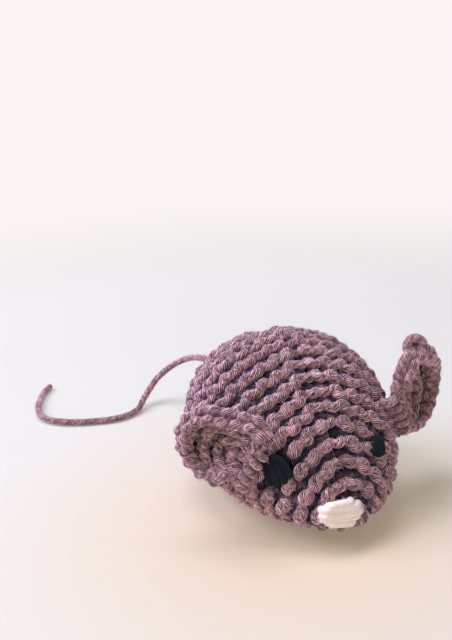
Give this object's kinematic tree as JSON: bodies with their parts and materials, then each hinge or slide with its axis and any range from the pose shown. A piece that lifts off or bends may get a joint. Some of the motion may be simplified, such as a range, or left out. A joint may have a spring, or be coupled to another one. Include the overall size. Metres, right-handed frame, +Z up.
{
  "type": "knitted catnip mouse",
  "caption": "Hand-knitted garter-stitch toy mouse with cupped ears, sewn eyes and nose and a yarn tail, stuffed round a pouch of dried catnip for a cat to chase.",
  "frame": {"origin": "on the floor under the cover's widest ring, in the middle of the flat that the belly rests on", "axes": "+Z up, -Y towards the nose, -X to the mouse's own right"},
  "size_m": [0.1001, 0.1448, 0.0495],
  "materials": {
    "mauve_yarn": "matte plied yarn, garter stitch",
    "black_yarn": "matte black yarn",
    "cream_yarn": "matte cream yarn",
    "fibre_fill": "loose white polyester fibre",
    "muslin": "thin unbleached cotton",
    "dried_herb": "dry crumbled leaf"
  },
  "bodies": {
    "mouse_body": {"knit_cover": "mauve_yarn", "front_stuffing": "fibre_fill", "rear_stuffing": "fibre_fill", "catnip_pouch": "muslin", "dried_catnip": "dried_herb", "pouch_tie": "cream_yarn", "belly_seam_yarn": "mauve_yarn", "rump_gathering_yarn": "mauve_yarn", "right_ear_sewing_yarn": "mauve_yarn", "left_ear_sewing_yarn": "mauve_yarn", "right_eye_stitches": "black_yarn", "left_eye_stitches": "black_yarn", "nose_stitches": "cream_yarn", "tail_root_knot": "mauve_yarn"},
    "right_ear_flap": {"right_ear": "mauve_yarn"},
    "left_ear_flap": {"left_ear": "mauve_yarn"},
    "tail": {"tail_cord": "mauve_yarn"}
  },
  "joints": [
    {"name": "right_ear_fold", "type": "hinge", "parent": "mouse_body", "child": "right_ear_flap", "pos_m": [-0.02421, -0.02574, 0.02349], "axis": [0.4591, -0.1985, 0.8659], "range_deg": [0, 80], "stiffness_Nm_per_rad": 0.004},
    {"name": "left_ear_fold", "type": "hinge", "parent": "mouse_body", "child": "left_ear_flap", "pos_m": [0.02548, -0.02155, 0.02757], "axis": [0.4286, 0.0143, -0.9034], "range_deg": [0, 80], "stiffness_Nm_per_rad": 0.004},
    {"name": "tail_swing", "type": "hinge", "parent": "mouse_body", "child": "tail", "pos_m": [0, 0.0336, 0.0242], "axis": [0, 0, 1], "range_deg": [-70, 70]}
  ]
}
